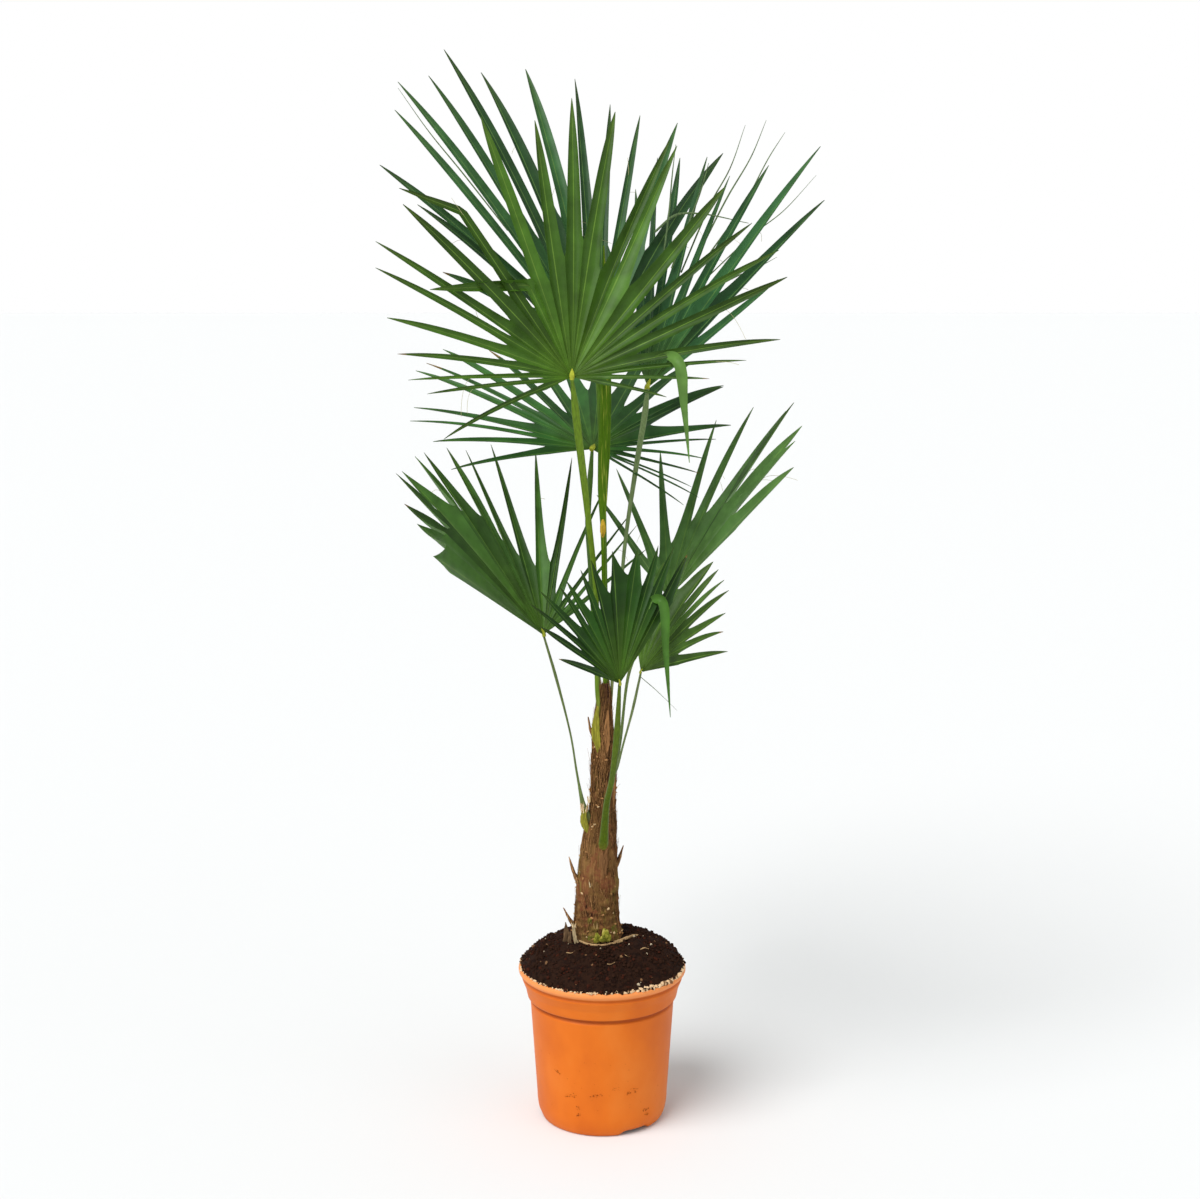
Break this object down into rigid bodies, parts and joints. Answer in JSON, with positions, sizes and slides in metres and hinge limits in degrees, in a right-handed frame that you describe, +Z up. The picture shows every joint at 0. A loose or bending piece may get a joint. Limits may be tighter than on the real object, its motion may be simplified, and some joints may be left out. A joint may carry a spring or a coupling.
{
  "type": "potted windmill palm",
  "caption": "Young fan palm with a thin fibrous trunk, pleated fan leaves on long stems and a folded spear leaf, standing in a round tapered nursery pot of soil.",
  "frame": {"origin": "centre of the pot's flat underside", "axes": "+Z up along the trunk, -Y towards the front of the picture, +X to its right"},
  "size_m": [0.5972, 0.6984, 1.5119],
  "materials": {
    "pot": "satin moulded plastic",
    "soil": "rough moist potting soil",
    "trunk": "fibrous brown sheaths",
    "leaf_base": "dry and split",
    "bud": "smooth young leaf",
    "spear": "folded young leaf",
    "petiole": "smooth green stem",
    "blade": "leathery pleated leaf"
  },
  "bodies": {
    "root": {"pot": "pot", "soil": "soil", "trunk": "trunk", "old_leaf_base_1": "leaf_base", "old_leaf_base_2": "leaf_base", "old_leaf_base_3": "leaf_base", "old_leaf_base_4": "leaf_base", "old_leaf_base_5": "leaf_base", "old_leaf_base_6": "leaf_base", "old_leaf_base_7": "leaf_base", "foot_bud": "bud", "spear_leaf": "spear", "petiole_upper_front": "petiole", "fan_upper_front": "blade", "petiole_upper_back": "petiole", "fan_upper_back": "blade", "petiole_upper_right": "petiole", "fan_upper_right": "blade", "petiole_middle_back": "petiole", "fan_middle_back": "blade", "petiole_left": "petiole", "fan_left": "blade", "petiole_right": "petiole", "fan_right": "blade", "petiole_lower_front": "petiole", "fan_lower_front": "blade", "petiole_lower_right": "petiole", "fan_lower_right": "blade"}
  },
  "joints": []
}
